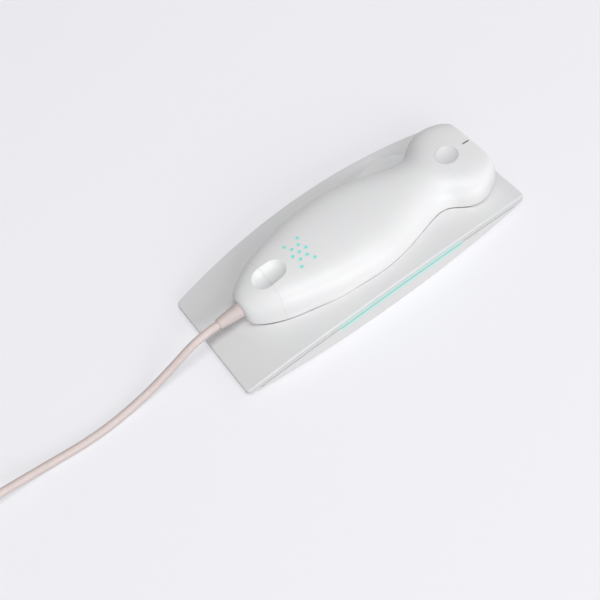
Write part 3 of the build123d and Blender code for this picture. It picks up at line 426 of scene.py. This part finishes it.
def polyimide_film():
    """Flexible circuit: glossy amber film with fine darker conductors running along it."""
    material, tree, place = new_material("polyimide_flex_film")
    # conductors at 0.2 mm spacing, drawn at 0.6 mm
    lines = add_node(
        tree, "ShaderNodeTexWave", {"bands_direction": "Y"}, {"Vector": place, "Scale": per(0.6) / 20}
    )
    tone = add_node(
        tree, "ShaderNodeMix", {"data_type": "RGBA"},
        {0: lines.outputs["Fac"], 6: linear("#8a4d16"), 7: linear("#c8812c")},
    )
    shader = add_node(
        tree, "ShaderNodeBsdfPrincipled", {},
        {"Base Color": tone.outputs[2], "Roughness": 0.25, "IOR": 1.7, "Coat Weight": 0.3},
    )
    add_node(tree, "ShaderNodeOutputMaterial", {}, {"Surface": shader.outputs["BSDF"]})
    return material


def woven_strap():
    """Hook-and-loop strap: a dark woven band with a soft, uneven nap."""
    material, tree, place = new_material("nylon_hook_and_loop_strap")
    # threads 0.4 mm apart, drawn at 0.8 mm
    warp = add_node(
        tree, "ShaderNodeTexWave", {"bands_direction": "Y"}, {"Vector": place, "Scale": per(0.8) / 20}
    )
    weft = add_node(
        tree, "ShaderNodeTexWave", {"bands_direction": "Z"}, {"Vector": place, "Scale": per(0.8) / 20}
    )
    weave = add_node(
        tree, "ShaderNodeMath", {"operation": "MULTIPLY"}, {0: warp.outputs["Fac"], 1: weft.outputs["Fac"]}
    )
    nap = add_node(tree, "ShaderNodeTexNoise", {}, {"Vector": place, "Scale": per(0.5), "Detail": 6.0})
    height = add_node(
        tree, "ShaderNodeMath", {"operation": "MULTIPLY_ADD"},
        {0: nap.outputs["Fac"], 1: 0.8, 2: weave.outputs[0]},
    )
    tone = add_node(
        tree, "ShaderNodeMix", {"data_type": "RGBA"},
        {0: height.outputs[0], 6: linear("#44474c"), 7: linear("#6c7077")},
    )
    bump = add_node(
        tree, "ShaderNodeBump", {}, {"Strength": 0.8, "Distance": 0.15 * MM, "Height": height.outputs[0]}
    )
    shader = add_node(
        tree, "ShaderNodeBsdfPrincipled", {},
        {"Base Color": tone.outputs[2], "Roughness": 0.9, "Normal": bump.outputs["Normal"],
         "Sheen Weight": 0.4, "Sheen Roughness": 0.4},
    )
    add_node(tree, "ShaderNodeOutputMaterial", {}, {"Surface": shader.outputs["BSDF"]})
    return material


def diced_ceramic():
    """Sintered piezo ceramic: pale buff, finely grained, with a soft shine."""
    material, tree, place = new_material("sintered_piezo_ceramic")
    # grain of a few microns, drawn at 0.3 mm
    grain = add_node(tree, "ShaderNodeTexVoronoi", {"feature": "F1"}, {"Vector": place, "Scale": per(0.3)})
    tone = add_node(
        tree, "ShaderNodeMix", {"data_type": "RGBA"},
        {0: grain.outputs["Distance"], 6: linear("#d9cfb4"), 7: linear("#bfb293")},
    )
    shader = add_node(
        tree, "ShaderNodeBsdfPrincipled", {},
        {"Base Color": tone.outputs[2], "Roughness": 0.35, "IOR": 2.2},
    )
    add_node(tree, "ShaderNodeOutputMaterial", {}, {"Surface": shader.outputs["BSDF"]})
    return material


# Cases
probe_abs = moulded_abs("satin_abs_probe_case", "#f3f3f4")
cover_abs = moulded_abs("satin_abs_cradle_cover", "#e8e8e9", roughness=0.5, glow=0.8)
base_abs = moulded_abs("satin_abs_cradle_base", "#f3f2f2", roughness=0.5, glow=0.9, groove=True)
dress(probe_abs, "probe_upper_shell", "probe_lower_shell", "probe_tail_cap", "nose_bezel", "screw_plugs")
dress(cover_abs, "cradle_cover")
dress(base_abs, "cradle_base")
dress(moulded_abs("satin_abs_push_button", "#e9e9eb", roughness=0.4), "button_cap")
dress(
    filled_resin("glass_filled_nylon", "#bfbfbc", "#d2d2ce", 0.6, 0.25, 0.5),
    "button_frame", "array_carrier", "cable_clamp", "lead_connector", "flex_connector",
)

# Lights
dress(lit_acrylic("lit_acrylic_dots", "#86e0d6", "#86e6de", 0.15), "light_guide")
dress(lit_acrylic("lit_acrylic_strip", "#8fcfc4", "#86d9cb", 0.12), "light_strip")
dress(
    lit_acrylic("phosphor_capped_emitters", "#f0edd2", "#d8f2ea", 0.4), "light_emitters", "strip_emitters",
)

# Rubber and soft parts
sheath = extruded_elastomer("elastomer_cable_sheath", "#e8dad6", "#ddcdc9")
cable.data.materials.append(sheath)
dress(sheath, "cable_lead")
dress(
    extruded_elastomer("elastomer_strain_relief", "#dccfcc", "#d1c3c0"), "strain_relief", "plug_overmould",
)
dress(
    extruded_elastomer("nitrile_rubber", "#4e4e50", "#434345", 0.7, 1.52),
    "shell_gasket", "button_seal", "cradle_feet",
)
dress(extruded_elastomer("closed_cell_foam_pads", "#d0d0cf", "#c2c2c1", 0.85), "nest_pads")
dress(extruded_elastomer("cast_silicone_lens", "#6a737a", "#626b72", 0.3, 1.42), "acoustic_lens")
dress(woven_strap(), "cable_tie")

# Resins and ceramics
dress(filled_resin("orientation_mark_enamel", "#5b6367", "#646c70", 0.5, 0.2, 0.45), "orientation_mark")
dress(filled_resin("cast_matching_resin", "#a08f66", "#b3a47e", 0.8, 0.25, 0.35), "matching_layer")
dress(filled_resin("tungsten_loaded_backing", "#37373a", "#6a6a6e", 0.7, 0.2, 0.6), "backing_block")
dress(
    filled_resin("moulded_chip_epoxy", "#1d1d1f", "#2b2b2e", 0.5, 0.25, 0.45),
    "board_chips", "control_chips", "button_switch", "inlet_tongue",
)
dress(diced_ceramic(), "crystal_array")
dress(polyimide_film(), "array_flex")
dress(
    coated_board("solder_masked_board"), "main_board", "light_board", "button_board", "strip_board",
    "control_board",
)

# Metals
dress(
    worked_metal("tin_plated_sheet", "#c9cacb", 0.3, (0.1, 1, 1)),
    "shield_can", "plug_shell", "inlet_shell",
)
dress(
    worked_metal("zinc_plated_screw_steel", "#a9abae", 0.35, (1, 1, 0.1), 0.2),
    "shell_screws", "clamp_screws", "cradle_screws",
)
dress(worked_metal("zinc_plated_ballast_plate", "#9a9da1", 0.45, (1, 1, 1), 3.0, 0.02), "ballast_plate")
dress(worked_metal("milled_aluminium_spreader", "#c4c5c8", 0.32, (0.05, 1, 1), 0.4), "heat_spreader")
dress(worked_metal("gold_flashed_contacts", "#d9b45c", 0.25, (0.1, 1, 1), 0.2), "plug_contacts")


def seen_rays(tree):
    """One for the rays that show the background, straight or in a reflection, and zero for all others."""
    rays = add_node(tree, "ShaderNodeLightPath")
    shown = add_node(
        tree, "ShaderNodeMath", {"operation": "MAXIMUM"},
        {0: rays.outputs["Is Camera Ray"], 1: rays.outputs["Is Glossy Ray"]},
    )
    shown = add_node(
        tree, "ShaderNodeMath", {"operation": "MAXIMUM"},
        {0: shown.outputs[0], 1: rays.outputs["Is Transmission Ray"]},
    )
    return shown.outputs[0]


def lay_table():
    """Pale matt table. It shows lighter than it lights the object, and keeps the object's shadow."""
    mesh = bpy.data.meshes.new("table")
    size = 6.0
    corners = [(-size, -size, 0), (size, -size, 0), (size, size, 0), (-size, size, 0)]
    mesh.from_pydata(corners, [], [(0, 1, 2, 3)])
    table = bpy.data.objects.new("table", mesh)
    bpy.context.scene.collection.objects.link(table)
    material, tree, place = new_material("pale_table")
    # past the lamps the lift grows, so that the table runs out into the pale room
    distance = add_node(tree, "ShaderNodeVectorMath", {"operation": "LENGTH"}, {0: place})
    shown_lift = add_node(
        tree, "ShaderNodeMapRange", {"interpolation_type": "SMOOTHSTEP"},
        {"Value": distance.outputs["Value"], "From Min": 2.6, "From Max": 4.6, "To Min": 0.55,
         "To Max": 0.8},
    )
    lift = add_node(
        tree, "ShaderNodeMath", {"operation": "MULTIPLY"},
        {0: seen_rays(tree), 1: shown_lift.outputs["Result"]},
    )
    shader = add_node(
        tree, "ShaderNodeBsdfPrincipled", {},
        {"Base Color": linear("#b2b2b5"), "Roughness": 0.9, "Emission Color": linear("#f3f3f7"),
         "Emission Strength": lift.outputs[0]},
    )
    add_node(tree, "ShaderNodeOutputMaterial", {}, {"Surface": shader.outputs["BSDF"]})
    mesh.materials.append(material)


def hang_lamp(name, place, size, power):
    """Rectangular soft lamp pointed at the cradle's middle, with its power in watts."""
    data = bpy.data.lights.new(name, "AREA")
    data.shape = "RECTANGLE"
    data.size, data.size_y = size
    data.energy = power
    lamp = bpy.data.objects.new(name, data)
    bpy.context.scene.collection.objects.link(lamp)
    lamp.location = place
    lamp.rotation_euler = (-Vector(place)).to_track_quat("-Z", "Y").to_euler()


def light_room():
    """Even room light. What shows of the room beyond the table is as pale as the table."""
    room = bpy.data.worlds.new("studio")
    room.use_nodes = True
    tree = room.node_tree
    tree.nodes.clear()
    lighting_level, shown_level = 0.19, 0.88
    level = add_node(
        tree, "ShaderNodeMapRange", {},
        {"Value": seen_rays(tree), "To Min": lighting_level, "To Max": shown_level},
    )
    light = add_node(
        tree, "ShaderNodeBackground", {}, {"Color": (1, 1, 1, 1), "Strength": level.outputs["Result"]}
    )
    add_node(tree, "ShaderNodeOutputWorld", {}, {"Surface": light.outputs["Background"]})
    bpy.context.scene.world = room


lay_table()
light_room()
hang_lamp("near_softbox", (-0.15, -2.25, 1.05), (2.4, 1.3), 31)
hang_lamp("head_end_softbox", (2.3, -0.6, 1.25), (1.5, 1.0), 7)
hang_lamp("overhead_softbox", (0, -0.6, 2.5), (1.5, 1.0), 27.5)
bpy.context.scene.view_settings.view_transform = "Standard"
